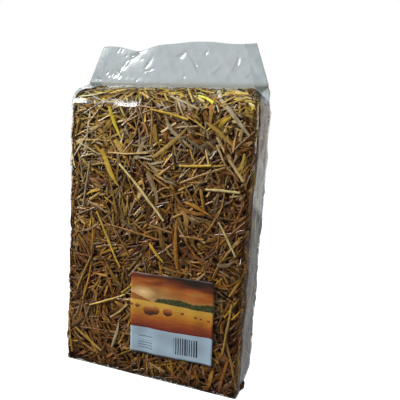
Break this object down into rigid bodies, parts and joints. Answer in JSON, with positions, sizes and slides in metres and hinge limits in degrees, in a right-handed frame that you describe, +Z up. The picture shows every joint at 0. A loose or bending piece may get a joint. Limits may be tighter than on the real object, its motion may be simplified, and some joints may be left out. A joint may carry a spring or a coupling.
{
  "type": "bagged bundle of straw",
  "caption": "Upright slab of pressed chopped straw in a clear film bag with a flat open fin on top and a paper label low on the front; rests on its flat base.",
  "frame": {"origin": "centre of the flat base, on the surface that the slab stands on", "axes": "+X across the broad faces, to the right as the label is seen; +Y through the slab, away from the label; +Z up"},
  "size_m": [0.236, 0.0877, 0.417],
  "materials": {
    "film": "clear thin polythene film, glossy, faintly blue-grey where it is doubled",
    "straw": "dull dry pressed straw, olive brown with dark gaps",
    "stem": "smooth dry straw stem, satin, fine lengthwise lines",
    "leaf_blade": "dry leaf blade, matt, ribbed lengthwise",
    "label": "coated paper, satin, plain field picture above a pale panel"
  },
  "bodies": {
    "root": {"film_bag": "film", "label": "label", "leaf_blade_back_1": "leaf_blade", "leaf_blade_back_2": "leaf_blade", "leaf_blade_back_3": "leaf_blade", "leaf_blade_back_slope_1": "leaf_blade", "leaf_blade_front_1": "leaf_blade", "leaf_blade_front_2": "leaf_blade", "leaf_blade_front_3": "leaf_blade", "leaf_blade_front_4": "leaf_blade", "leaf_blade_front_5": "leaf_blade", "leaf_blade_front_6": "leaf_blade", "leaf_blade_front_7": "leaf_blade", "leaf_blade_front_8": "leaf_blade", "leaf_blade_front_slope_1": "leaf_blade", "leaf_blade_left_1": "leaf_blade", "leaf_blade_right_1": "leaf_blade", "stem_back_1": "stem", "stem_back_2": "stem", "stem_back_3": "stem", "stem_back_4": "stem", "stem_back_5": "stem", "stem_back_slope_1": "stem", "stem_back_slope_2": "stem", "stem_front_1": "stem", "stem_front_10": "stem", "stem_front_11": "stem", "stem_front_12": "stem", "stem_front_2": "stem", "stem_front_3": "stem", "stem_front_4": "stem", "stem_front_5": "stem", "stem_front_6": "stem", "stem_front_7": "stem", "stem_front_8": "stem", "stem_front_9": "stem", "stem_front_slope_1": "stem", "stem_front_slope_2": "stem", "stem_left_1": "stem", "stem_left_2": "stem", "stem_right_1": "stem", "stem_right_2": "stem", "straw_block": "straw"}
  },
  "joints": []
}
